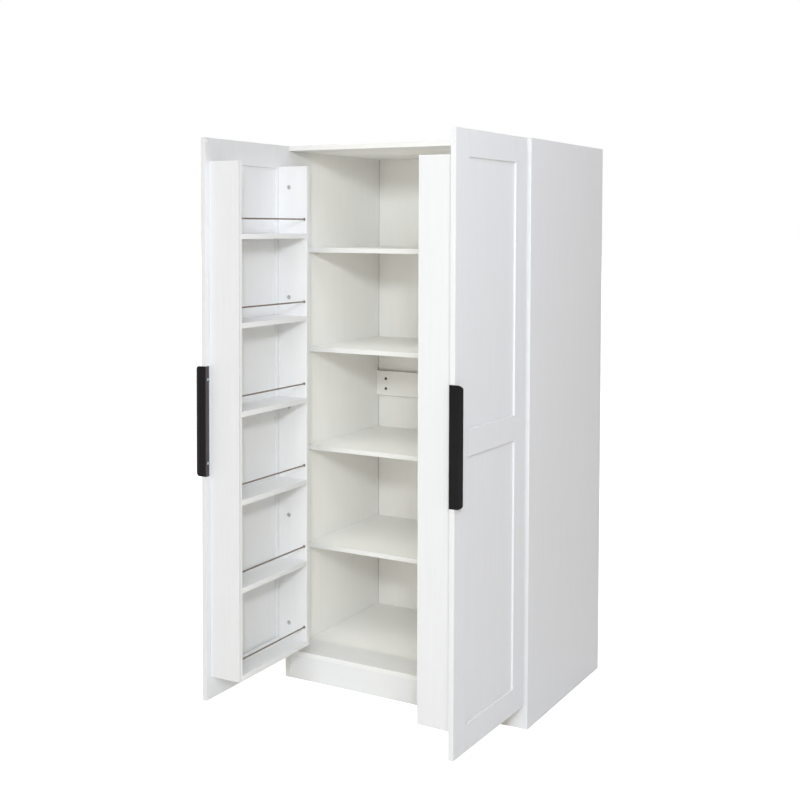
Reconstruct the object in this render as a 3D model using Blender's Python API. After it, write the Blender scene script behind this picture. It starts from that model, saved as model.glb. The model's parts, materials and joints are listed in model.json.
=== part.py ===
"""Pantry cabinet: a board carcass with four shelves, and two framed doors that each carry a rack.

Metres, +Z up, front towards -Y. The origin is on the floor, at the middle of the box that holds the
cabinet with its doors open. A door is modelled in its own frame: along the door from the hinge edge,
then through its thickness from the outer face, then up.
"""

import math

import bmesh
import bpy
from mathutils import Vector

# Carcass
WIDTH = 0.900
DEPTH = 0.600
HEIGHT = 1.800
BOARD = 0.016
GAP = 0.0003
EDGE = 0.0006
KICK_HEIGHT = 0.080
KICK_SETBACK = 0.001
BACK_INSET = 0.015
BACK_THICKNESS = 0.003
BACK_TONGUE = 0.005
BACK_PLAY = 0.0018
SHELF_COUNT = 4
SHELF_SETBACK = 0.116
RAIL_HEIGHT = 0.092
RAIL_CENTRE = 0.944
RAIL_THICKNESS = 0.015

# Doors
OPEN_ANGLE = math.radians(89)
DOOR_REVEAL = 0.0005
DOOR_SPLIT = 0.005
DOOR_STANDOFF = 0.003
DOOR_THICKNESS = 0.016
DOOR_BOTTOM = 0.077
DOOR_TOP = 1.799
MEMBER = 0.076
RECESS = 0.006
PANEL_THICKNESS = 0.005
PANEL_TONGUE = 0.008
CHAMFER = 0.0006
JOINT_LINE = 0.0008
JOINT_DEPTH = 0.002
AXIS_FROM_SIDE = 0.009
AXIS_DEPTH = 0.0005

# Door racks
RACK_FREE_OFFSET = 0.019
RACK_WIDTH = 0.382
RACK_DEPTH = 0.110
RACK_BOTTOM = 0.148
RACK_TOP = 1.728
TIER_COUNT = 6
TIER_PITCH = 0.269
ROD_RADIUS = 0.0025
ROD_ABOVE_SHELF = 0.0465
ROD_SETBACK = 0.009
ROD_SOCKET = 0.006
CAM_COUNT = 5
CAM_RADIUS = 0.0075
CAM_DEPTH = 0.012
CAM_FROM_DOOR = 0.040
CAM_END_OFFSET = 0.068

# Handles
HANDLE_LENGTH = 0.337
HANDLE_SHEET = 0.0015
HANDLE_BEND = 0.003
HANDLE_FLANGE = 0.0145
HANDLE_STRAIGHT = 0.006
HANDLE_CURL_RADIUS = 0.026
HANDLE_CURL = math.radians(43)
HANDLE_CORNER = 0.015
HANDLE_SCREW_PITCH = 0.256
HANDLE_SCREW_RADIUS = 0.0023

# Hinges
HINGE_END_OFFSET = 0.100
HINGE_COUNT = 3
CUP_RADIUS = 0.0175
CUP_DEPTH = 0.0112
CUP_WALL = 0.001
CUP_FROM_EDGE = 0.0225
CUP_FLANGE = 0.0012
CUP_FLANGE_SPAN = 0.052
PLATE_CENTRE = 0.037
PLATE_THICKNESS = 0.003

# Derived places
INNER_HALF = WIDTH / 2 - BOARD
BOTTOM_TOP = KICK_HEIGHT + BOARD
CLEAR_HEIGHT = (HEIGHT - BOARD - BOTTOM_TOP - SHELF_COUNT * BOARD) / (SHELF_COUNT + 1)
DOOR_WIDTH = WIDTH / 2 - DOOR_REVEAL - DOOR_SPLIT / 2
DOOR_MIDDLE = (DOOR_BOTTOM + DOOR_TOP) / 2
AXIS_ALONG = AXIS_FROM_SIDE - DOOR_REVEAL
HANDLE_FACE = DOOR_WIDTH + GAP + HANDLE_SHEET
HANDLE_TIP = -HANDLE_STRAIGHT - HANDLE_CURL_RADIUS * math.sin(HANDLE_CURL)
OPEN_REACH = (HANDLE_FACE - AXIS_ALONG) * math.sin(OPEN_ANGLE) + (
    AXIS_DEPTH + HANDLE_STRAIGHT
) * math.cos(OPEN_ANGLE)
AXIS_FRONT = DOOR_STANDOFF + DOOR_THICKNESS - AXIS_DEPTH
FRONT_Y = (OPEN_REACH + AXIS_FRONT - DEPTH) / 2
BACK_FACE_Y = FRONT_Y + DEPTH - BACK_INSET
RACK_OUTER_END = DOOR_WIDTH - RACK_FREE_OFFSET
RACK_INNER_END = RACK_OUTER_END - RACK_WIDTH
RACK_FRONT = DOOR_THICKNESS + RACK_DEPTH

SIDES = {"left": 1, "right": -1}
LAMINATE = ((0.86, 0.86, 0.855), 0.45, 0.0)
BLACK = ((0.012, 0.012, 0.013), 0.4, 0.9)
ROD_STEEL = ((0.30, 0.27, 0.25), 0.3, 1.0)
NICKEL = ((0.62, 0.62, 0.61), 0.3, 1.0)


def clear_scene():
    for thing in list(bpy.data.objects):
        bpy.data.objects.remove(thing, do_unlink=True)


def finish(thing, kind):
    """Give the object its own material, with the colour, roughness and metallic value of its kind."""
    colour, roughness, metallic = kind
    material = bpy.data.materials.new(thing.name)
    material.use_nodes = True
    shader = material.node_tree.nodes["Principled BSDF"]
    shader.inputs["Base Color"].default_value = (*colour, 1)
    shader.inputs["Roughness"].default_value = roughness
    shader.inputs["Metallic"].default_value = metallic
    thing.data.materials.append(material)


def object_from(name, mesh, parent=None):
    bmesh.ops.recalc_face_normals(mesh, faces=mesh.faces)
    data = bpy.data.meshes.new(name)
    mesh.to_mesh(data)
    mesh.free()
    thing = bpy.data.objects.new(name, data)
    thing.parent = parent
    bpy.context.scene.collection.objects.link(thing)
    return thing


def cuboid(name, low, high, parent=None, edge=0.0):
    """A box between two corners, given in any order, with its edges chamfered by edge."""
    low, high = Vector(low), Vector(high)
    mesh = bmesh.new()
    bmesh.ops.create_cube(mesh, size=1)
    size = high - low
    bmesh.ops.scale(mesh, vec=[abs(side) for side in size], verts=mesh.verts)
    bmesh.ops.translate(mesh, vec=(low + high) / 2, verts=mesh.verts)
    if edge:
        bmesh.ops.bevel(mesh, geom=mesh.edges, offset=edge, segments=1, profile=0.5, affect="EDGES")
    return object_from(name, mesh, parent)


def rod_between(name, start, end, radius, sides, parent=None):
    """A round bar between two points."""
    start, end = Vector(start), Vector(end)
    mesh = bmesh.new()
    turn = Vector((0, 0, 1)).rotation_difference(end - start).to_matrix().to_4x4()
    turn.translation = (start + end) / 2
    bmesh.ops.create_cone(
        mesh,
        cap_ends=True,
        segments=sides,
        radius1=radius,
        radius2=radius,
        depth=(end - start).length,
        matrix=turn,
    )
    thing = object_from(name, mesh, parent)
    thing.data.shade_smooth()
    thing.data.set_sharp_from_angle(angle=math.radians(40))
    return thing


def prism(name, outline, low, high, place, parent=None):
    """An outline of two-number points pushed from low to high. place turns (a, b, height) into a point."""
    mesh = bmesh.new()
    corners = [mesh.verts.new(place(a, b, low)) for a, b in outline]
    face = mesh.faces.new(corners)
    grown = bmesh.ops.extrude_face_region(mesh, geom=[face])
    for vertex in grown["geom"]:
        if isinstance(vertex, bmesh.types.BMVert):
            vertex.co += Vector(place(0, 0, high)) - Vector(place(0, 0, low))
    return object_from(name, mesh, parent)


def combine(thing, others, operation="DIFFERENCE"):
    """Apply one exact Boolean with the other objects, which don't touch each other, and remove them."""
    tool, *rest = others
    if rest:
        mesh = bmesh.new()
        for other in others:
            mesh.from_mesh(other.data)
        mesh.to_mesh(tool.data)
        mesh.free()
    modifier = thing.modifiers.new(operation, "BOOLEAN")
    modifier.solver = "EXACT"
    modifier.operation = operation
    modifier.object = tool
    bpy.context.view_layer.update()
    graph = bpy.context.evaluated_depsgraph_get()
    result = bpy.data.meshes.new_from_object(thing.evaluated_get(graph))
    thing.modifiers.clear()
    old = thing.data
    thing.data = result
    bpy.data.meshes.remove(old)
    for other in others:
        bpy.data.objects.remove(other, do_unlink=True)


def arc(centre, radius, start, end, steps):
    """Points on an arc, with the angles in degrees."""
    points = []
    for step in range(steps + 1):
        angle = math.radians(start + (end - start) * step / steps)
        points.append((centre[0] + radius * math.cos(angle), centre[1] + radius * math.sin(angle)))
    return points


# ---------------------------------------------------------------- carcass


def make_side(name, side):
    """A full-height side panel. side is 1 on the left, at -X."""
    inner, outer = -side * INNER_HALF, -side * WIDTH / 2
    panel = cuboid(f"side_{name}", (inner, FRONT_Y, 0), (outer, FRONT_Y + DEPTH, HEIGHT), edge=EDGE)
    groove_end = -side * (INNER_HALF + BACK_TONGUE + GAP)
    groove = cuboid(
        "groove",
        (inner + side * BOARD, BACK_FACE_Y - BACK_PLAY, BOTTOM_TOP - BACK_TONGUE - GAP),
        (groove_end, BACK_FACE_Y + BACK_THICKNESS + GAP, HEIGHT - BOARD + BACK_TONGUE + GAP),
    )
    combine(panel, [groove])
    finish(panel, LAMINATE)


def make_cross_board(name, bottom, groove_side):
    """The top or the bottom panel, between the sides. groove_side is 1 where the groove is on top."""
    reach = INNER_HALF - GAP
    board = cuboid(
        name, (-reach, FRONT_Y, bottom), (reach, FRONT_Y + DEPTH, bottom + BOARD), edge=EDGE
    )
    face = bottom + BOARD if groove_side > 0 else bottom
    groove = cuboid(
        "groove",
        (-reach - BOARD, BACK_FACE_Y - GAP, face - groove_side * (BACK_TONGUE + GAP)),
        (reach + BOARD, BACK_FACE_Y + BACK_THICKNESS + GAP, face + groove_side * BOARD),
    )
    combine(board, [groove])
    finish(board, LAMINATE)


def make_carcass_boards():
    reach = INNER_HALF - GAP
    kick_front = FRONT_Y + KICK_SETBACK
    kick = cuboid(
        "kickboard",
        (-reach, kick_front, 0),
        (reach, kick_front + BOARD, KICK_HEIGHT - GAP),
        edge=EDGE,
    )
    finish(kick, LAMINATE)
    back = cuboid(
        "back_panel",
        (-INNER_HALF - BACK_TONGUE, BACK_FACE_Y, BOTTOM_TOP - BACK_TONGUE),
        (INNER_HALF + BACK_TONGUE, BACK_FACE_Y + BACK_THICKNESS, HEIGHT - BOARD + BACK_TONGUE),
    )
    finish(back, LAMINATE)
    rail = cuboid(
        "back_rail",
        (-reach, BACK_FACE_Y - GAP - RAIL_THICKNESS, RAIL_CENTRE - RAIL_HEIGHT / 2),
        (reach, BACK_FACE_Y - GAP, RAIL_CENTRE + RAIL_HEIGHT / 2),
        edge=EDGE,
    )
    finish(rail, LAMINATE)
    for count in range(SHELF_COUNT):
        bottom = BOTTOM_TOP + CLEAR_HEIGHT + count * (CLEAR_HEIGHT + BOARD)
        shelf = cuboid(
            f"shelf_{count + 1}",
            (-reach, FRONT_Y + SHELF_SETBACK, bottom),
            (reach, BACK_FACE_Y - GAP, bottom + BOARD),
            edge=EDGE,
        )
        finish(shelf, LAMINATE)


# ---------------------------------------------------------------- doors


def door_axis(name, side):
    """An empty on the hinge axis, whose X runs along the open door."""
    axis = bpy.data.objects.new(f"axis_{name}", None)
    bpy.context.scene.collection.objects.link(axis)
    axis.location = (-side * (WIDTH / 2 - AXIS_FROM_SIDE), FRONT_Y - AXIS_FRONT, 0)
    axis.rotation_euler.z = -OPEN_ANGLE if side > 0 else OPEN_ANGLE - math.pi
    return axis


def door_point(side):
    """The function that turns (along, through, up) into a point of the door's own frame."""

    def point(along, through, up):
        return (along - AXIS_ALONG, side * (through - AXIS_DEPTH), up)

    return point


def window_cutter(point, low, high, axis):
    """A rectangular hole through the door, wider at both faces by the chamfer."""
    beyond = CHAMFER
    levels = [
        (-beyond, 2 * CHAMFER),
        (CHAMFER, 0),
        (DOOR_THICKNESS - CHAMFER, 0),
        (DOOR_THICKNESS + beyond, 2 * CHAMFER),
    ]
    mesh = bmesh.new()
    rings = []
    for through, grow in levels:
        corners = [
            (low[0] - grow, low[1] - grow),
            (high[0] + grow, low[1] - grow),
            (high[0] + grow, high[1] + grow),
            (low[0] - grow, high[1] + grow),
        ]
        rings.append([mesh.verts.new(point(along, through, up)) for along, up in corners])
    for first, second in zip(rings, rings[1:]):
        for i in range(4):
            j = (i + 1) % 4
            mesh.faces.new((first[i], first[j], second[j], second[i]))
    mesh.faces.new(rings[0])
    mesh.faces.new(rings[-1])
    return object_from("window", mesh, axis)


def joint_line_cutter(point, along, low, high, outer, axis):
    """A narrow slot along the joint between a stile and a rail, on the outer or the inner face."""
    face = 0 if outer else DOOR_THICKNESS
    out = -1 if outer else 1
    half = JOINT_LINE / 2
    return cuboid(
        "line",
        point(along - half, face + out * JOINT_DEPTH, low),
        point(along + half, face - out * JOINT_DEPTH, high),
        axis,
    )


def hinge_heights():
    first = DOOR_BOTTOM + HINGE_END_OFFSET
    last = DOOR_TOP - HINGE_END_OFFSET
    return [first + (last - first) * i / (HINGE_COUNT - 1) for i in range(HINGE_COUNT)]


def windows():
    """Lower and upper (low, high) corners of the door's two openings."""
    near, far = MEMBER, DOOR_WIDTH - MEMBER
    return [
        ((near, DOOR_BOTTOM + MEMBER), (far, DOOR_MIDDLE - MEMBER / 2)),
        ((near, DOOR_MIDDLE + MEMBER / 2), (far, DOOR_TOP - MEMBER)),
    ]


def make_door_frame(name, side, axis):
    """Stiles and rails as one glued frame, grooved for its panels and bored for its hinge cups."""
    point = door_point(side)
    frame = cuboid(
        f"door_{name}_frame",
        point(0, 0, DOOR_BOTTOM),
        point(DOOR_WIDTH, DOOR_THICKNESS, DOOR_TOP),
        axis,
        EDGE,
    )
    combine(frame, [window_cutter(point, low, high, axis) for low, high in windows()])
    grow = PANEL_TONGUE + GAP
    cutters = []
    for low, high in windows():
        groove = cuboid(
            "groove",
            point(low[0] - grow, RECESS - GAP, low[1] - grow),
            point(high[0] + grow, RECESS + PANEL_THICKNESS + GAP, high[1] + grow),
            axis,
        )
        cutters.append(groove)
    for height in hinge_heights():
        bore = rod_between(
            "bore",
            point(CUP_FROM_EDGE, DOOR_THICKNESS - CUP_DEPTH - GAP, height),
            point(CUP_FROM_EDGE, DOOR_THICKNESS + CUP_DEPTH, height),
            CUP_RADIUS + GAP,
            32,
            axis,
        )
        cutters.append(bore)
    combine(frame, cutters)
    inset = CHAMFER / 2
    rails = [
        (DOOR_BOTTOM - MEMBER, DOOR_BOTTOM + MEMBER - inset),
        (DOOR_MIDDLE - MEMBER / 2 + inset, DOOR_MIDDLE + MEMBER / 2 - inset),
        (DOOR_TOP - MEMBER + inset, DOOR_TOP + MEMBER),
    ]
    lines = [
        joint_line_cutter(point, along, low, high, outer, axis)
        for low, high in rails
        for along in (MEMBER, DOOR_WIDTH - MEMBER)
        for outer in (True, False)
    ]
    combine(frame, lines)
    finish(frame, LAMINATE)


def make_door_panels(name, side, axis):
    point = door_point(side)
    for label, (low, high) in zip(("lower", "upper"), windows()):
        panel = cuboid(
            f"door_{name}_panel_{label}",
            point(low[0] - PANEL_TONGUE, RECESS, low[1] - PANEL_TONGUE),
            point(high[0] + PANEL_TONGUE, RECESS + PANEL_THICKNESS, high[1] + PANEL_TONGUE),
            axis,
        )
        finish(panel, LAMINATE)


# ---------------------------------------------------------------- racks


def tier_bottoms():
    return [RACK_BOTTOM + count * TIER_PITCH for count in range(TIER_COUNT)]


def cam_heights():
    first = RACK_BOTTOM + CAM_END_OFFSET
    last = RACK_TOP - CAM_END_OFFSET
    return [first + (last - first) * i / (CAM_COUNT - 1) for i in range(CAM_COUNT)]


def rod_place():
    """Depth of the rods from the outer face, and their height above a shelf's underside."""
    return RACK_FRONT - ROD_SETBACK, BOARD + ROD_ABOVE_SHELF


def make_rack_side(name, side, axis, label, outer, inward):
    """A tall side board. outer is its outer face along the door, and inward is 1 or -1."""
    point = door_point(side)
    inner = outer + inward * BOARD
    board = cuboid(
        f"rack_{name}_side_{label}",
        point(outer, DOOR_THICKNESS + GAP, RACK_BOTTOM),
        point(inner, RACK_FRONT, RACK_TOP),
        axis,
        EDGE,
    )
    through, above = rod_place()
    cutters = []
    for bottom in tier_bottoms():
        height = bottom + above
        socket = rod_between(
            "socket",
            point(inner - inward * (ROD_SOCKET + GAP), through, height),
            point(inner + inward * BOARD, through, height),
            ROD_RADIUS + GAP,
            16,
            axis,
        )
        cutters.append(socket)
    for height in cam_heights():
        pocket = rod_between(
            "pocket",
            point(inner - inward * CAM_DEPTH, DOOR_THICKNESS + CAM_FROM_DOOR, height),
            point(inner + inward * BOARD, DOOR_THICKNESS + CAM_FROM_DOOR, height),
            CAM_RADIUS,
            20,
            axis,
        )
        cutters.append(pocket)
    combine(board, cutters)
    finish(board, LAMINATE)


def make_rack(name, side, axis):
    point = door_point(side)
    make_rack_side(name, side, axis, "hinge", RACK_INNER_END, 1)
    make_rack_side(name, side, axis, "free", RACK_OUTER_END, -1)
    low = RACK_INNER_END + BOARD
    high = RACK_OUTER_END - BOARD
    through, above = rod_place()
    for count, bottom in enumerate(tier_bottoms()):
        shelf = cuboid(
            f"rack_{name}_shelf_{count + 1}",
            point(low + GAP, DOOR_THICKNESS + GAP, bottom),
            point(high - GAP, RACK_FRONT, bottom + BOARD),
            axis,
            EDGE,
        )
        finish(shelf, LAMINATE)
        rod = rod_between(
            f"rack_{name}_rod_{count + 1}",
            point(low - ROD_SOCKET, through, bottom + above),
            point(high + ROD_SOCKET, through, bottom + above),
            ROD_RADIUS,
            16,
            axis,
        )
        finish(rod, ROD_STEEL)


# ---------------------------------------------------------------- handles


def handle_profile():
    """Section of the bent sheet in (along, through): flange, bend, web across the edge, curled lip."""
    inner_face = DOOR_THICKNESS + GAP
    flange_end = HANDLE_FACE - HANDLE_SHEET - HANDLE_FLANGE
    bend_centre = (HANDLE_FACE - HANDLE_BEND, inner_face + HANDLE_SHEET - HANDLE_BEND)
    curl_centre = (HANDLE_FACE - HANDLE_CURL_RADIUS, -HANDLE_STRAIGHT)
    curl = math.degrees(HANDLE_CURL)
    outline = [(flange_end, inner_face + HANDLE_SHEET)]
    outline += arc(bend_centre, HANDLE_BEND, 90, 0, 5)
    outline += arc(curl_centre, HANDLE_CURL_RADIUS, 0, -curl, 7)
    outline += arc(curl_centre, HANDLE_CURL_RADIUS - HANDLE_SHEET, -curl, 0, 7)
    outline += arc(bend_centre, HANDLE_BEND - HANDLE_SHEET, 0, 90, 5)
    outline += [(flange_end, inner_face)]
    return outline


def make_handle(name, side, axis):
    """Bent sheet round the door's free edge, with round corners on the lip and two screw holes."""
    point = door_point(side)
    low = DOOR_MIDDLE - HANDLE_LENGTH / 2
    high = DOOR_MIDDLE + HANDLE_LENGTH / 2
    handle = prism(f"door_{name}_handle", handle_profile(), low, high, point, axis)
    handle.data.shade_smooth()
    end = HANDLE_TIP - GAP
    beyond = 2 * DOOR_THICKNESS
    corner = HANDLE_CORNER
    outline = [(beyond, high + corner), (beyond, low - corner), (end + corner, low - corner)]
    outline += arc((end + corner, low + corner), corner, 270, 180, 8)
    outline += arc((end + corner, high - corner), corner, 180, 90, 8)
    outline += [(end + corner, high + corner)]

    def across(through, up, along):
        return point(along, through, up)

    keep = prism("keep", outline, DOOR_WIDTH - 2 * HANDLE_FLANGE, HANDLE_FACE + HANDLE_FLANGE, across, axis)
    combine(handle, [keep], "INTERSECT")
    screw_along = DOOR_WIDTH - HANDLE_FLANGE / 2
    holes = []
    for offset in (-HANDLE_SCREW_PITCH / 2, HANDLE_SCREW_PITCH / 2):
        height = DOOR_MIDDLE + offset
        hole = rod_between(
            "hole",
            point(screw_along, DOOR_THICKNESS - HANDLE_SHEET, height),
            point(screw_along, DOOR_THICKNESS + 2 * HANDLE_SHEET, height),
            HANDLE_SCREW_RADIUS,
            16,
            axis,
        )
        holes.append(hole)
    combine(handle, holes)
    handle.data.set_sharp_from_angle(angle=math.radians(30))
    finish(handle, BLACK)


# ---------------------------------------------------------------- hinges


def make_hinge_cup(name, side, axis, number, height):
    """The cup sunk in the door, open towards the carcass, with its screw flange."""
    point = door_point(side)
    face = DOOR_THICKNESS + GAP
    cup = rod_between(
        f"hinge_{name}_cup_{number}",
        point(CUP_FROM_EDGE, DOOR_THICKNESS - CUP_DEPTH, height),
        point(CUP_FROM_EDGE, face + CUP_FLANGE, height),
        CUP_RADIUS,
        32,
        axis,
    )
    half_span = CUP_FLANGE_SPAN / 2
    wing = CUP_RADIUS - CUP_DEPTH
    outline = arc((CUP_FROM_EDGE, height + half_span - wing), wing, 0, 180, 6)
    outline += arc((CUP_FROM_EDGE, height), CUP_RADIUS + CUP_WALL, 150, 210, 6)
    outline += arc((CUP_FROM_EDGE, height - half_span + wing), wing, 180, 360, 6)
    outline += arc((CUP_FROM_EDGE, height), CUP_RADIUS + CUP_WALL, -30, 30, 6)

    def across(along, up, through):
        return point(along, through, up)

    flange = prism("flange", outline, face, face + CUP_FLANGE, across, axis)
    combine(cup, [flange], "UNION")
    hollow = rod_between(
        "hollow",
        point(CUP_FROM_EDGE, DOOR_THICKNESS - CUP_DEPTH + CUP_WALL, height),
        point(CUP_FROM_EDGE, 2 * DOOR_THICKNESS, height),
        CUP_RADIUS - CUP_WALL,
        32,
        axis,
    )
    combine(cup, [hollow])
    finish(cup, NICKEL)


def arm_outline():
    """Side view of the hinge arm: (distance from the side panel, distance behind the carcass front)."""
    foot = GAP + PLATE_THICKNESS / 2
    return [
        (foot, 0.021),
        (0.0085, 0.012),
        (0.013, -0.004),
        (0.013, -0.012),
        (0.021, -0.012),
        (0.021, 0.002),
        (0.0155, 0.020),
        (0.0125, 0.062),
        (0.009, 0.064),
        (foot, 0.056),
    ]


def make_hinge_arm(name, side, number, height):
    """Mounting plate and arm, fixed to the side panel."""
    half_arm = 0.0055
    wing_half = CUP_FLANGE_SPAN / 2
    wing_reach = 0.006
    body_half = 0.009
    body_reach = 0.018

    def from_panel(distance, behind, up):
        return (-side * (INNER_HALF - distance), FRONT_Y + behind, up)

    def on_panel(behind, up, distance):
        return from_panel(distance, behind, up)

    arm = prism(
        f"hinge_{name}_arm_{number}",
        arm_outline(),
        height - half_arm,
        height + half_arm,
        from_panel,
    )
    outline = [
        (PLATE_CENTRE - body_reach, height - body_half),
        (PLATE_CENTRE - wing_reach, height - body_half),
        (PLATE_CENTRE - wing_reach, height - wing_half),
        (PLATE_CENTRE + wing_reach, height - wing_half),
        (PLATE_CENTRE + wing_reach, height - body_half),
        (PLATE_CENTRE + body_reach, height - body_half),
        (PLATE_CENTRE + body_reach, height + body_half),
        (PLATE_CENTRE + wing_reach, height + body_half),
        (PLATE_CENTRE + wing_reach, height + wing_half),
        (PLATE_CENTRE - wing_reach, height + wing_half),
        (PLATE_CENTRE - wing_reach, height + body_half),
        (PLATE_CENTRE - body_reach, height + body_half),
    ]
    plate = prism("plate", outline, GAP, GAP + PLATE_THICKNESS, on_panel)
    combine(arm, [plate], "UNION")
    finish(arm, NICKEL)


def main():
    clear_scene()
    make_cross_board("top_panel", HEIGHT - BOARD, -1)
    make_cross_board("bottom_panel", KICK_HEIGHT, 1)
    make_carcass_boards()
    for name, side in SIDES.items():
        make_side(name, side)
        axis = door_axis(name, side)
        make_door_frame(name, side, axis)
        make_door_panels(name, side, axis)
        make_rack(name, side, axis)
        make_handle(name, side, axis)
        for number, height in enumerate(hinge_heights(), start=1):
            make_hinge_cup(name, side, axis, number, height)
            make_hinge_arm(name, side, number, height)


main()
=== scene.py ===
"""Studio view of the pantry cabinet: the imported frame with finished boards, metal and small fittings."""

import json
import math

import bmesh
import bpy
from mathutils import Matrix, Vector


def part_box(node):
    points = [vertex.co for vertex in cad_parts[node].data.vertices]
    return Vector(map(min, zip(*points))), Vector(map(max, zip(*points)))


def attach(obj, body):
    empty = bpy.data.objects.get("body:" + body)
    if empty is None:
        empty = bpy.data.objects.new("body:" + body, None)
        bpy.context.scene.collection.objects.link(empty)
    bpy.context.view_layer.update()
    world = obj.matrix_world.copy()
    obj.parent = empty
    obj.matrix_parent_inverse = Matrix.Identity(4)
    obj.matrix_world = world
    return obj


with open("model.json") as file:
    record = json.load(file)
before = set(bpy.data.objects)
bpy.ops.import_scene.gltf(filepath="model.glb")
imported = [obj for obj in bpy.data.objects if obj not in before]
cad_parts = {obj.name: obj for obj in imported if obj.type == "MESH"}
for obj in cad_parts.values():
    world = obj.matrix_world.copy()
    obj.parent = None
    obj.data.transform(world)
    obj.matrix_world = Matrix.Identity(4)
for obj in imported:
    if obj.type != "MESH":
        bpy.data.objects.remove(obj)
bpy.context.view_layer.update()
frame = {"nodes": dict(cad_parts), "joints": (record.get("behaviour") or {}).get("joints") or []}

# Camera, from the standing point of the view
CAMERA_PLACE = (1.92879, -3.39676, 1.52928)
CAMERA_TURN = 29.08
CAMERA_TILT = -2.22
CAMERA_ROLL = 0.22
CAMERA_LENS = 54.37
CAMERA_SHIFT = (-0.02814, -0.15676)

# Room: the light that the surroundings give, the floor's own glow, and what the lights aim at
WORLD_LIGHT = (0.19, 0.158, 0.112)
FLOOR_GLOW = 0.8
CABINET_MIDDLE = (-0.1, 0.1, 0.95)

# Door frame of reference: along the door from its hinge edge, in from its outer face, then up
DOOR_ANGLE = math.radians(89)
DOOR_THICKNESS = 0.016
DOOR_WIDTH = 0.447
AXIS_ALONG = 0.0085
AXIS_DEPTH = 0.0005
SLIP = 0.0003

# Rack: the inner faces of its two sides along the door, each with the way it looks
RACK_INNER_FACES = ((0.062, 1), (0.412, -1))
CAM_IN = 0.056
CAM_LOWEST = 0.216
CAM_STEP = 0.361
CAM_COUNT = 5
ROD_IN = 0.117
ROD_LOWEST = 0.148 + 0.0625
ROD_STEP = 0.269
ROD_COUNT = 6

# Handle and bumpers
FLANGE_WIDTH = 0.0145
HANDLE_SHEET = 0.0015
HANDLE_SCREW_REACH = 0.128
HANDLE_SCREW_HEAD = 0.0016
BUMPER_INSET = 0.012

# Hinges: screws beside the cup, screws of the mounting plate, and the adjusting screw of the arm
HINGE_NUMBERS = (1, 2, 3)
CUP_ALONG = 0.0225
CUP_RIM = 0.0012
CUP_SCREW_REACH = 0.0215
ARM_OVERHANG = 0.012
PLATE_SCREW_REACH = 0.0195
PLATE_SCREW_BACK = 0.037
PLATE_SCREW_OUT = 0.0032
ARM_SCREW_BACK = 0.046
ARM_SCREW_OUT = 0.0150

# Carcass: half the width between the sides, the screws of the back rail, and the shelf pins
INNER_HALF = 0.434
RAIL_SCREW_X = (-0.394, 0.394)
RAIL_SCREW_Z = (0.9232, 0.9606)
PIN_FROM_FRONT = 0.05
PIN_FROM_BACK = 0.06
PIN_DROP = 0.0045

SIDES = {"left": 1, "right": -1}
NODES = frame["nodes"]
JOINTS = {joint["child"]: joint for joint in frame["joints"]}


def door_place(name):
    """The matrix that takes (along, in, up) on a door to the room."""
    side = SIDES[name]
    x, y, _ = JOINTS[f"door_{name}"]["pos_m"]
    turn = -DOOR_ANGLE if side > 0 else DOOR_ANGLE - math.pi
    flip = Matrix.Diagonal((1, side, 1, 1))
    shift = Matrix.Translation((-AXIS_ALONG, -AXIS_DEPTH, 0))
    return Matrix.Translation((x, y, 0)) @ Matrix.Rotation(turn, 4, "Z") @ flip @ shift


# ---------------------------------------------------------------- material nodes


def new_material(name):
    material = bpy.data.materials.new(name)
    material.use_nodes = True
    tree = material.node_tree
    return material, tree, tree.nodes["Principled BSDF"]


def finished(material):
    """The node tree, the shader and the colour socket of a material that is made already."""
    tree = material.node_tree
    shader = tree.nodes["Principled BSDF"]
    return tree, shader, shader.inputs["Base Color"].links[0].from_socket


def add(tree, kind, **settings):
    """A new node of a kind, with its settings."""
    node = tree.nodes.new(kind)
    for key, value in settings.items():
        setattr(node, key, value)
    return node


def feed(tree, value, socket):
    """Set a socket to a number or a colour, or link another socket to it."""
    if isinstance(value, tuple):
        socket.default_value = (*value, 1)
    elif isinstance(value, (int, float)):
        socket.default_value = value
    else:
        tree.links.new(value, socket)


def object_place(tree):
    """The place on the object, in metres."""
    return add(tree, "ShaderNodeTexCoord").outputs["Object"]


def split(tree, vector):
    """The X, Y and Z sockets of a vector."""
    parts = add(tree, "ShaderNodeSeparateXYZ")
    tree.links.new(vector, parts.inputs["Vector"])
    return parts.outputs


def noise(tree, vector, scale, detail, roughness):
    node = add(tree, "ShaderNodeTexNoise")
    node.inputs["Scale"].default_value = scale
    node.inputs["Detail"].default_value = detail
    node.inputs["Roughness"].default_value = roughness
    tree.links.new(vector, node.inputs["Vector"])
    return node.outputs["Fac"]


def stretched(tree, source, axis, along, across):
    """Coordinates at one scale along an axis and another across it."""
    node = add(tree, "ShaderNodeMapping")
    scale = [across] * 3
    scale["XYZ".index(axis)] = along
    node.inputs["Scale"].default_value = scale
    tree.links.new(source, node.inputs["Vector"])
    return node.outputs["Vector"]


def spread(tree, value, low, high, to_low, to_high):
    node = add(tree, "ShaderNodeMapRange")
    for key, number in zip(("From Min", "From Max", "To Min", "To Max"), (low, high, to_low, to_high)):
        node.inputs[key].default_value = number
    tree.links.new(value, node.inputs["Value"])
    return node.outputs["Result"]


def mixed(tree, factor, first, second, blend="MIX"):
    """Blend two colours, each a colour or a socket, by a factor."""
    node = add(tree, "ShaderNodeMix", data_type="RGBA", blend_type=blend)
    feed(tree, factor, node.inputs["Factor"])
    sockets = [socket for socket in node.inputs if socket.type == "RGBA"]
    for socket, colour in zip(sockets, (first, second)):
        feed(tree, colour, socket)
    return [socket for socket in node.outputs if socket.type == "RGBA"][0]


def arithmetic(tree, operation, first, second):
    node = add(tree, "ShaderNodeMath", operation=operation)
    for socket, value in zip(node.inputs, (first, second)):
        feed(tree, value, socket)
    return node.outputs[0]


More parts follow.
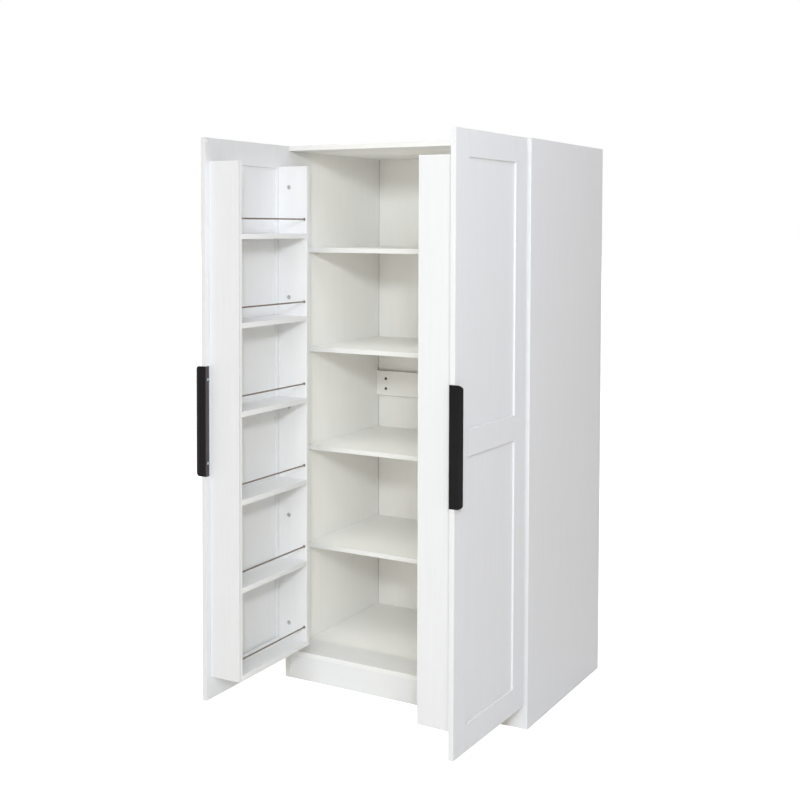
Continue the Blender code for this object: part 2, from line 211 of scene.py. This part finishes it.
def product(tree, *values):
    result = values[0]
    for value in values[1:]:
        result = arithmetic(tree, "MULTIPLY", result, value)
    return result


def edge_mask(tree, radius):
    """Near 1 along the arrises and 0 on the flats."""
    bevel = add(tree, "ShaderNodeBevel", samples=4)
    bevel.inputs["Radius"].default_value = radius
    shape = add(tree, "ShaderNodeNewGeometry")
    dot = add(tree, "ShaderNodeVectorMath", operation="DOT_PRODUCT")
    tree.links.new(bevel.outputs["Normal"], dot.inputs[0])
    tree.links.new(shape.outputs["Normal"], dot.inputs[1])
    return spread(tree, dot.outputs["Value"], 0.995, 0.80, 0.0, 1.0)


def add_bump(tree, shader, height, strength, distance):
    bump = add(tree, "ShaderNodeBump")
    bump.inputs["Strength"].default_value = strength
    bump.inputs["Distance"].default_value = distance
    tree.links.new(height, bump.inputs["Height"])
    tree.links.new(bump.outputs["Normal"], shader.inputs["Normal"])


def set_roughness(tree, shader, value, low, high):
    """Roughness that follows a pattern from low to high."""
    tree.links.new(spread(tree, value, 0.3, 0.7, low, high), shader.inputs["Roughness"])


def scaled(colour, factor):
    return tuple(channel * factor for channel in colour)


# ---------------------------------------------------------------- materials


def laminate(name, colour, grain, contrast):
    """Melamine-faced board with a fine pressed wood grain along one axis."""
    material, tree, shader = new_material(name)
    place = object_place(tree)
    streak = noise(tree, stretched(tree, place, grain, 8.0, 300.0), 1.0, 4.0, 0.7)
    band = noise(tree, stretched(tree, place, grain, 3.5, 110.0), 1.0, 3.0, 0.6)
    cloud = noise(tree, place, 2.4, 2.0, 0.5)
    grainy = arithmetic(tree, "ADD", product(tree, streak, 0.55), product(tree, band, 0.45))
    tone = mixed(tree, spread(tree, grainy, 0.36, 0.64, 0.0, 1.0), scaled(colour, 1.0 - contrast), colour)
    tone = mixed(tree, spread(tree, cloud, 0.35, 0.65, 0.0, 0.35), tone, scaled(colour, 0.985))
    tone = mixed(tree, product(tree, edge_mask(tree, 0.0012), 0.35), tone, scaled(colour, 0.90))
    tree.links.new(tone, shader.inputs["Base Color"])
    set_roughness(tree, shader, grainy, 0.56, 0.44)
    add_bump(tree, shader, grainy, 0.25, 0.0002)
    shader.inputs["Specular IOR Level"].default_value = 0.35
    return material


def coated_metal(name, colour, roughness, worn):
    """Powder-coated sheet: a fine stipple, uneven gloss and slightly rubbed arrises."""
    material, tree, shader = new_material(name)
    place = object_place(tree)
    grit = noise(tree, place, 2600.0, 4.0, 0.65)
    cloud = noise(tree, place, 14.0, 3.0, 0.6)
    tone = mixed(tree, spread(tree, cloud, 0.35, 0.65, 0.0, 1.0), scaled(colour, 0.85), scaled(colour, 1.15))
    tone = mixed(tree, product(tree, edge_mask(tree, 0.0008), 0.5), tone, worn)
    tree.links.new(tone, shader.inputs["Base Color"])
    set_roughness(tree, shader, grit, roughness - 0.06, roughness + 0.08)
    add_bump(tree, shader, grit, 0.35, 0.00015)
    return material


def bare_metal(name, colour, roughness, grain, metallic=1.0):
    """Plated or drawn metal with fine scratches along one axis and dull patches."""
    material, tree, shader = new_material(name)
    place = object_place(tree)
    scratch = noise(tree, stretched(tree, place, grain, 60.0, 1500.0), 1.0, 3.0, 0.6)
    cloud = noise(tree, place, 60.0, 3.0, 0.6)
    tone = mixed(tree, spread(tree, cloud, 0.35, 0.65, 0.0, 1.0), scaled(colour, 0.82), colour)
    tone = mixed(tree, product(tree, edge_mask(tree, 0.0004), 0.4), tone, scaled(colour, 1.25))
    tree.links.new(tone, shader.inputs["Base Color"])
    set_roughness(tree, shader, scratch, roughness - 0.07, roughness + 0.1)
    add_bump(tree, shader, scratch, 0.2, 0.00008)
    shader.inputs["Metallic"].default_value = metallic
    return material


def plastic(name, colour, roughness):
    """Moulded plastic with a slight orange-peel surface."""
    material, tree, shader = new_material(name)
    place = object_place(tree)
    peel = noise(tree, place, 900.0, 2.0, 0.5)
    cloud = noise(tree, place, 90.0, 2.0, 0.5)
    tone = mixed(tree, spread(tree, cloud, 0.35, 0.65, 0.0, 1.0), scaled(colour, 0.92), colour)
    tree.links.new(tone, shader.inputs["Base Color"])
    set_roughness(tree, shader, peel, roughness - 0.05, roughness + 0.08)
    add_bump(tree, shader, peel, 0.2, 0.0001)
    return material


def painted_bounce_inner_face(material, outer, inner):
    """Paint a side panel's inner face lighter and warmer, as painted bounce light of the interior, and raw
    board in its back groove.
    """
    tree, shader, face = finished(material)
    parts = split(tree, object_place(tree))
    depth = arithmetic(tree, "ABSOLUTE", parts["X"], 0.0)
    # Painted bounce light: the inner face is multiplied up from the outside white to the lighter, warmer
    # inside white
    painted_bounce_gain = tuple(new / old for new, old in zip(inner, outer))
    face_with_painted_bounce = mixed(tree, 1.0, face, painted_bounce_gain, "MULTIPLY")
    inside = spread(tree, depth, INNER_HALF - 0.0002, INNER_HALF + 0.0008, 1.0, 0.0)
    groove = product(
        tree,
        spread(tree, depth, INNER_HALF + 0.0003, INNER_HALF + 0.0006, 0.0, 1.0),
        spread(tree, depth, INNER_HALF + 0.0059, INNER_HALF + 0.0064, 1.0, 0.0),
        spread(tree, parts["Y"], 0.500, 0.505, 0.0, 1.0),
        spread(tree, parts["Y"], 0.520, 0.524, 1.0, 0.0),
        spread(tree, parts["Z"], 1.790, 1.795, 1.0, 0.0),
    )
    tone = mixed(tree, groove, mixed(tree, inside, face, face_with_painted_bounce), (0.22, 0.16, 0.11))
    tree.links.new(tone, shader.inputs["Base Color"])
    return material


def painted_shade_rim(material):
    """Darken the back panel's rim, where it stands in the grooves of the side panels: partly the board's raw
    edge, mostly painted shade of the narrow gaps at the back corners.
    """
    tree, shader, face = finished(material)
    depth = arithmetic(tree, "ABSOLUTE", split(tree, object_place(tree))["X"], 0.0)
    rim = spread(tree, depth, INNER_HALF - 0.0001, INNER_HALF + 0.0002, 0.0, 1.0)
    # Painted shade: the dark rim colour stands in for the shade inside the corner gaps
    tree.links.new(mixed(tree, rim, face, (0.32, 0.27, 0.20)), shader.inputs["Base Color"])
    return material


def painted_reflection_flange(material, reach):
    """Lighten the handle's flange, where |x| is below a reach, as a painted reflection of the bright door
    beside it, and dull the whole coat's gloss.
    """
    tree, shader, face = finished(material)
    depth = arithmetic(tree, "ABSOLUTE", split(tree, object_place(tree))["X"], 0.0)
    flange = spread(tree, depth, reach, reach + 0.0003, 1.0, 0.0)
    # Painted reflection: the flange gets a lighter mauve-grey colour in place of the door it reflects
    tree.links.new(mixed(tree, flange, face, (0.075, 0.060, 0.064)), shader.inputs["Base Color"])
    shader.inputs["Specular IOR Level"].default_value = 0.28
    return material


def raw_and_painted_shade_on_top(material):
    """Show the bare chips of the particleboard on the faces that point up, darker than bare board: partly
    the raw edge, partly painted shade of the dark line above the rail.
    """
    tree, shader, face = finished(material)
    chips = spread(tree, noise(tree, object_place(tree), 380.0, 4.0, 0.7), 0.35, 0.65, 0.0, 1.0)
    # Painted shade: these chip colours are darker than bare board to stand in for the shade in the line
    # above the rail
    raw = mixed(tree, chips, (0.08, 0.048, 0.028), (0.24, 0.155, 0.09))
    upward = split(tree, add(tree, "ShaderNodeNewGeometry").outputs["Normal"])["Z"]
    tone = mixed(tree, spread(tree, upward, 0.80, 0.95, 0.0, 1.0), face, raw)
    tree.links.new(tone, shader.inputs["Base Color"])
    return material


# Two copies of one white laminate: the outside white, and the inside white painted lighter and warmer as
# painted bounce light of the interior
WHITE = (0.86, 0.865, 0.875)
INSIDE_WHITE_PAINTED_BOUNCE = (0.93, 0.93, 0.92)
BOARD_UP = laminate("board_upright", WHITE, "Z", 0.042)
BOARD_BACK = painted_shade_rim(laminate("board_back", INSIDE_WHITE_PAINTED_BOUNCE, "Z", 0.03))
BOARD_SIDE = painted_bounce_inner_face(laminate("board_side", WHITE, "Z", 0.045), WHITE, INSIDE_WHITE_PAINTED_BOUNCE)
BOARD_CROSS = laminate("board_cross", INSIDE_WHITE_PAINTED_BOUNCE, "X", 0.035)
BOARD_RAIL = raw_and_painted_shade_on_top(laminate("board_rail", INSIDE_WHITE_PAINTED_BOUNCE, "X", 0.035))
BOARD_KICK = laminate("board_kick", WHITE, "X", 0.02)
BOARD_DEEP = laminate("board_along_door", WHITE, "Y", 0.035)
HANDLE_COAT = coated_metal("handle_coating_painted_reflection", (0.006, 0.0052, 0.0065), 0.24, (0.045, 0.042, 0.050))
BRONZE = coated_metal("screw_bronze", (0.045, 0.026, 0.020), 0.38, (0.10, 0.065, 0.05))
# The rod steel is coloured dark brown-grey: painted reflection of dark surroundings on bright steel
ROD_STEEL_PAINTED_REFLECTION = bare_metal("rod_steel", (0.40, 0.34, 0.30), 0.32, "Y")
NICKEL = bare_metal("nickel_plate", (0.62, 0.61, 0.59), 0.28, "Z")
ZINC = bare_metal("cam_zinc", (0.60, 0.60, 0.585), 0.45, "X", 0.25)
STEEL = bare_metal("screw_zinc_blue", (0.62, 0.80, 0.86), 0.25, "Y")
CLEAR = plastic("clear_bumper", (0.86, 0.865, 0.87), 0.35)
PIN_WHITE = plastic("white_pin", (0.80, 0.80, 0.78), 0.40)


def board_of(node):
    """The board that a wooden node is cut from."""
    if node == "back_rail":
        return BOARD_RAIL
    if node.startswith(("shelf_", "top_panel", "bottom_panel")):
        return BOARD_CROSS
    if node.startswith("back_panel"):
        return BOARD_BACK
    if node.startswith("side_"):
        return BOARD_SIDE
    if node == "kickboard":
        return BOARD_KICK
    if node.startswith("rack_") and "_shelf_" in node:
        return BOARD_DEEP
    return BOARD_UP


def finish_nodes():
    """Put a finished material in every slot of each frame node."""
    low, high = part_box("door_left_handle")
    # The handle material carries a painted reflection on its flange
    handle_black_painted_reflection = painted_reflection_flange(HANDLE_COAT, min(abs(low.x), abs(high.x)) + 0.0012)
    for node, thing in NODES.items():
        if node.endswith("handle"):
            material = handle_black_painted_reflection
        elif "_rod_" in node:
            material = ROD_STEEL_PAINTED_REFLECTION
        elif node.startswith("hinge_"):
            material = NICKEL
        else:
            material = board_of(node)
        for slot in thing.material_slots:
            slot.material = material


# ---------------------------------------------------------------- small fittings


def turned(mesh, profile, segments):
    """Turn a profile of (radius, height) points about the Z axis and add it to the mesh."""
    rings = []
    for radius, height in profile:
        if radius == 0:
            rings.append([mesh.verts.new((0, 0, height))])
            continue
        ring = []
        for step in range(segments):
            angle = 2 * math.pi * step / segments
            ring.append(mesh.verts.new((radius * math.cos(angle), radius * math.sin(angle), height)))
        rings.append(ring)
    for first, second in zip(rings, rings[1:]):
        for i in range(segments):
            j = (i + 1) % segments
            near = (first[i % len(first)], first[j % len(first)])
            far = (second[j % len(second)], second[i % len(second)])
            mesh.faces.new(list(dict.fromkeys(near + far)))


def cross_cutter(mesh, reach, half, low, high):
    """A plus-shaped prism."""
    arm = ((reach, -half), (reach, half), (half, half))
    outline = []
    for _ in range(4):
        outline.extend(arm)
        arm = tuple((-y, x) for x, y in arm)
    bottom = [mesh.verts.new((x, y, low)) for x, y in outline]
    top = [mesh.verts.new((x, y, high)) for x, y in outline]
    mesh.faces.new(bottom)
    mesh.faces.new(top)
    for i in range(len(outline)):
        j = (i + 1) % len(outline)
        mesh.faces.new((bottom[i], bottom[j], top[j], top[i]))


def mesh_object(name, mesh):
    bmesh.ops.recalc_face_normals(mesh, faces=mesh.faces)
    data = bpy.data.meshes.new(name)
    mesh.to_mesh(data)
    mesh.free()
    thing = bpy.data.objects.new(name, data)
    bpy.context.scene.collection.objects.link(thing)
    return thing


def fastener(profile, recess, depth, segments=24):
    """Mesh of a turned head whose top is at height 0, with a cross recess of (reach, half width)."""
    body = bmesh.new()
    turned(body, profile, segments)
    head = mesh_object("head", body)
    cut = bmesh.new()
    cross_cutter(cut, recess[0], recess[1], -depth, 0.002)
    tool = mesh_object("tool", cut)
    modifier = head.modifiers.new("recess", "BOOLEAN")
    modifier.solver = "EXACT"
    modifier.operation = "DIFFERENCE"
    modifier.object = tool
    graph = bpy.context.evaluated_depsgraph_get()
    result = bpy.data.meshes.new_from_object(head.evaluated_get(graph))
    bpy.data.objects.remove(head)
    bpy.data.objects.remove(tool)
    return result


def turned_part(name, profile):
    """Mesh of a small turned part."""
    body = bmesh.new()
    turned(body, profile, 20)
    data = bpy.data.meshes.new(name)
    body.to_mesh(data)
    body.free()
    return data


def gathered(name, template, places, material, body):
    """One piece that holds a copy of a mesh at each place."""
    mesh = bmesh.new()
    for place in places:
        copy = template.copy()
        copy.transform(place)
        mesh.from_mesh(copy)
        bpy.data.meshes.remove(copy)
    thing = mesh_object(name, mesh)
    thing.data.materials.append(material)
    thing.data.shade_smooth()
    thing.data.set_sharp_from_angle(angle=math.radians(32))
    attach(thing, body)


def facing(point, direction, spin=0.0):
    """A matrix at a point with its Z axis along a direction, turned by a spin in degrees."""
    turn = Vector((0, 0, 1)).rotation_difference(Vector(direction)).to_matrix().to_4x4()
    return Matrix.Translation(point) @ turn @ Matrix.Rotation(math.radians(spin), 4, "Z")


CAM = fastener(
    [
        (0, -0.0110),
        (0.0071, -0.0110),
        (0.0072, -0.0014),
        (0.0070, -0.0010),
        (0.0062, -0.0010),
        (0.0060, -0.0015),
        (0, -0.0015),
    ],
    (0.0034, 0.0009),
    0.0048,
    28,
)
PAN_SCREW = fastener(
    [
        (0, -0.006),
        (0.0018, -0.006),
        (0.0020, -0.0016),
        (0.0040, -0.0016),
        (0.0042, -0.0010),
        (0.0034, -0.0003),
        (0.0018, 0),
        (0, 0),
    ],
    (0.0020, 0.00045),
    0.0014,
)
WAFER_SCREW = fastener(
    [
        (0, -0.006),
        (0.0022, -0.006),
        (0.0024, -0.0012),
        (0.0052, -0.0012),
        (0.0055, -0.0009),
        (0.0050, -0.0005),
        (0.0032, -0.0001),
        (0.0016, 0),
        (0, 0),
    ],
    (0.0026, 0.0006),
    0.0010,
)
FLAT_SCREW = fastener(
    [
        (0, -0.004),
        (0.0017, -0.004),
        (0.0018, -0.0020),
        (0.0036, -0.0004),
        (0.0036, -0.0001),
        (0.0033, 0),
        (0, 0),
    ],
    (0.0020, 0.0005),
    0.0014,
)
FERRULE = turned_part(
    "ring",
    [
        (0.0027, -0.001),
        (0.0046, -0.001),
        (0.0046, 0.0012),
        (0.0042, 0.0018),
        (0.0032, 0.0019),
        (0.0027, 0.0014),
        (0.0027, -0.001),
    ],
)
SHELF_PIN = turned_part(
    "pin",
    [
        (0, 0.0002),
        (0.0024, 0.0002),
        (0.0024, 0.0022),
        (0.0042, 0.0024),
        (0.0042, 0.0034),
        (0.0036, 0.0040),
        (0.0024, 0.0042),
        (0.0024, 0.0100),
        (0.0020, 0.0106),
        (0, 0.0106),
    ],
)
BUMPER = turned_part(
    "dome",
    [
        (0, 0),
        (0.0048, 0),
        (0.0048, 0.0006),
        (0.0040, 0.0014),
        (0.0024, 0.0019),
        (0, 0.0020),
    ],
)


def rack_details(name):
    place = door_place(name)
    body = f"door_{name}"
    cams = []
    ferrules = []
    for along, way in RACK_INNER_FACES:
        direction = place.to_3x3() @ Vector((way, 0, 0))
        for count in range(CAM_COUNT):
            point = place @ Vector((along, CAM_IN, CAM_LOWEST + CAM_STEP * count))
            cams.append(facing(point, direction, 45 + 20 * count))
        for count in range(ROD_COUNT):
            point = place @ Vector((along, ROD_IN, ROD_LOWEST + ROD_STEP * count))
            ferrules.append(facing(point, direction))
    gathered(f"rack_{name}_cam_locks", CAM, cams, ZINC, body)
    gathered(f"rack_{name}_rod_ferrules", FERRULE, ferrules, ROD_STEEL_PAINTED_REFLECTION, body)


def handle_details(name):
    place = door_place(name)
    low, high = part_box(f"door_{name}_handle")
    middle = (low.z + high.z) / 2
    inward = place.to_3x3() @ Vector((0, 1, 0))
    along = DOOR_WIDTH - FLANGE_WIDTH / 2
    head = DOOR_THICKNESS + SLIP + HANDLE_SHEET + HANDLE_SCREW_HEAD
    places = []
    for offset in (-HANDLE_SCREW_REACH, HANDLE_SCREW_REACH):
        places.append(facing(place @ Vector((along, head, middle + offset)), inward, 20))
    gathered(f"door_{name}_handle_screws", PAN_SCREW, places, STEEL, f"door_{name}")


def hinge_details(name):
    side = SIDES[name]
    place = door_place(name)
    inward = place.to_3x3() @ Vector((0, 1, 0))
    cup_screws = []
    plate_screws = []
    for number in HINGE_NUMBERS:
        low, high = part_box(f"hinge_{name}_cup_{number}")
        height = (low.z + high.z) / 2
        rim = DOOR_THICKNESS + SLIP + CUP_RIM + 0.0002
        for offset in (-CUP_SCREW_REACH, CUP_SCREW_REACH):
            point = place @ Vector((CUP_ALONG, rim, height + offset))
            cup_screws.append(facing(point, inward, 15))
        low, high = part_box(f"hinge_{name}_arm_{number}")
        front = low.y + ARM_OVERHANG
        wall = low.x if side > 0 else high.x
        for offset in (-PLATE_SCREW_REACH, PLATE_SCREW_REACH):
            point = (wall + side * PLATE_SCREW_OUT, front + PLATE_SCREW_BACK, height + offset)
            plate_screws.append(facing(point, (side, 0, 0), 30))
        point = (wall + side * ARM_SCREW_OUT, front + ARM_SCREW_BACK, height)
        plate_screws.append(facing(point, (side, 0, 0), 10))
    gathered(f"hinge_{name}_cup_screws", FLAT_SCREW, cup_screws, NICKEL, f"door_{name}")
    gathered(f"hinge_{name}_plate_screws", FLAT_SCREW, plate_screws, NICKEL, "carcass")


def bumpers(name):
    place = door_place(name)
    inward = place.to_3x3() @ Vector((0, 1, 0))
    low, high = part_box(f"door_{name}_frame")
    places = []
    for z in (low.z + BUMPER_INSET, high.z - BUMPER_INSET):
        places.append(facing(place @ Vector((DOOR_WIDTH - BUMPER_INSET, DOOR_THICKNESS, z)), inward))
    gathered(f"door_{name}_bumpers", BUMPER, places, CLEAR, f"door_{name}")


def carcass_details():
    rail_low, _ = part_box("back_rail")
    screws = []
    for x in RAIL_SCREW_X:
        for z in RAIL_SCREW_Z:
            screws.append(facing((x, rail_low.y - 0.0013, z), (0, -1, 0), 35))
    gathered("back_rail_screws", WAFER_SCREW, screws, BRONZE, "carcass")
    pins = []
    for count in range(1, 5):
        low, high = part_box(f"shelf_{count}")
        for y in (low.y + PIN_FROM_FRONT, high.y - PIN_FROM_BACK):
            for side in (1, -1):
                pins.append(facing((-side * INNER_HALF, y, low.z - PIN_DROP), (side, 0, 0)))
    gathered("shelf_pins", SHELF_PIN, pins, PIN_WHITE, "carcass")


# ---------------------------------------------------------------- room


def make_floor():
    """A pale paper floor that glows a little for the camera only, so that it doesn't light the cabinet."""
    mesh = bmesh.new()
    bmesh.ops.create_grid(mesh, x_segments=1, y_segments=1, size=60)
    floor = mesh_object("floor", mesh)
    material, tree, shader = new_material("floor_paper")
    cloud = noise(tree, object_place(tree), 1.5, 3.0, 0.5)
    tone = mixed(tree, cloud, (0.93, 0.93, 0.93), (0.95, 0.95, 0.95))
    tree.links.new(tone, shader.inputs["Base Color"])
    shader.inputs["Roughness"].default_value = 0.9
    shader.inputs["Specular IOR Level"].default_value = 0.1
    shader.inputs["Emission Color"].default_value = (1.0, 1.0, 1.0, 1)
    seen = add(tree, "ShaderNodeLightPath").outputs["Is Camera Ray"]
    tree.links.new(spread(tree, seen, 0.0, 1.0, 0.0, FLOOR_GLOW), shader.inputs["Emission Strength"])
    floor.data.materials.append(material)


def make_world():
    """White where the camera sees it, and a dim warm light everywhere else."""
    world = bpy.data.worlds.new("studio")
    bpy.context.scene.world = world
    world.use_nodes = True
    tree = world.node_tree
    background = tree.nodes["Background"]
    seen = add(tree, "ShaderNodeLightPath").outputs["Is Camera Ray"]
    tree.links.new(mixed(tree, seen, WORLD_LIGHT, (1.0, 1.0, 1.0)), background.inputs["Color"])
    background.inputs["Strength"].default_value = 1.0


def add_light(name, data, place, direction):
    light = bpy.data.objects.new(name, data)
    light.location = place
    light.rotation_euler = Vector(direction).to_track_quat("-Z", "Y").to_euler()
    light.visible_camera = False
    bpy.context.scene.collection.objects.link(light)


def make_softbox(name, place, target, size, power, colour):
    data = bpy.data.lights.new(name, "AREA")
    data.shape = "RECTANGLE"
    data.size, data.size_y = size
    data.energy = power
    data.color = colour
    add_light(name, data, place, Vector(target) - Vector(place))


def make_sky(name, source, power, width, colour):
    """A wide distant light from a direction."""
    data = bpy.data.lights.new(name, "SUN")
    data.energy = power
    data.angle = math.radians(width)
    data.color = colour
    add_light(name, data, (0, 0, 3), -Vector(source))


def make_lights():
    """Two keys, an overhead, two low fills between the doors and inside, and four wide skies."""
    make_softbox("key", (2.50, -4.30, 2.70), CABINET_MIDDLE, (0.5, 0.5), 89.0, (0.815, 0.86, 0.91))
    make_softbox("key_near", (1.80, -2.42, 2.16), CABINET_MIDDLE, (0.3, 0.3), 11.0, (0.80, 0.86, 0.90))
    make_softbox("overhead", (2.2, -0.6, 3.2), (0.2, 0.0, 1.2), (1.6, 1.6), 17.0, (0.79, 0.82, 1.0))
    make_softbox("fill_doors", (0, -0.50, 0.93), (0, 0.5, 0.93), (0.84, 1.6), 1.44, (1.0, 0.965, 0.80))
    make_softbox("fill_shelves", (0, 0.05, 0.94), (0, 0.5, 0.94), (0.82, 1.66), 1.22, (1.0, 0.95, 0.74))
    make_sky("front_sky", (0.25, -1.0, 0.12), 0.26, 60, (1.0, 0.90, 0.76))
    make_sky("top_sky", (0.35, -0.75, 1.0), 0.91, 40, (0.83, 0.89, 0.96))
    make_sky("left_sky", (-1.0, -0.3, 0.4), 0.66, 90, (1.0, 0.92, 0.76))
    make_sky("rear_sky", (-0.85, 1.0, 0.45), 1.05, 70, (0.85, 0.92, 1.0))


def make_camera():
    data = bpy.data.cameras.new("camera")
    data.lens = CAMERA_LENS
    data.sensor_width = 36
    data.shift_x, data.shift_y = CAMERA_SHIFT
    data.clip_start, data.clip_end = 0.05, 200
    camera = bpy.data.objects.new("camera", data)
    bpy.context.scene.collection.objects.link(camera)
    camera.matrix_world = (
        Matrix.Translation(CAMERA_PLACE)
        @ Matrix.Rotation(math.radians(CAMERA_TURN), 4, "Z")
        @ Matrix.Rotation(math.radians(90 + CAMERA_TILT), 4, "X")
        @ Matrix.Rotation(math.radians(CAMERA_ROLL), 4, "Z")
    )
    bpy.context.scene.camera = camera


make_camera()
finish_nodes()
for door in SIDES:
    rack_details(door)
    handle_details(door)
    hinge_details(door)
    bumpers(door)
carcass_details()
make_floor()
make_world()
make_lights()
bpy.context.scene.view_settings.view_transform = "Standard"
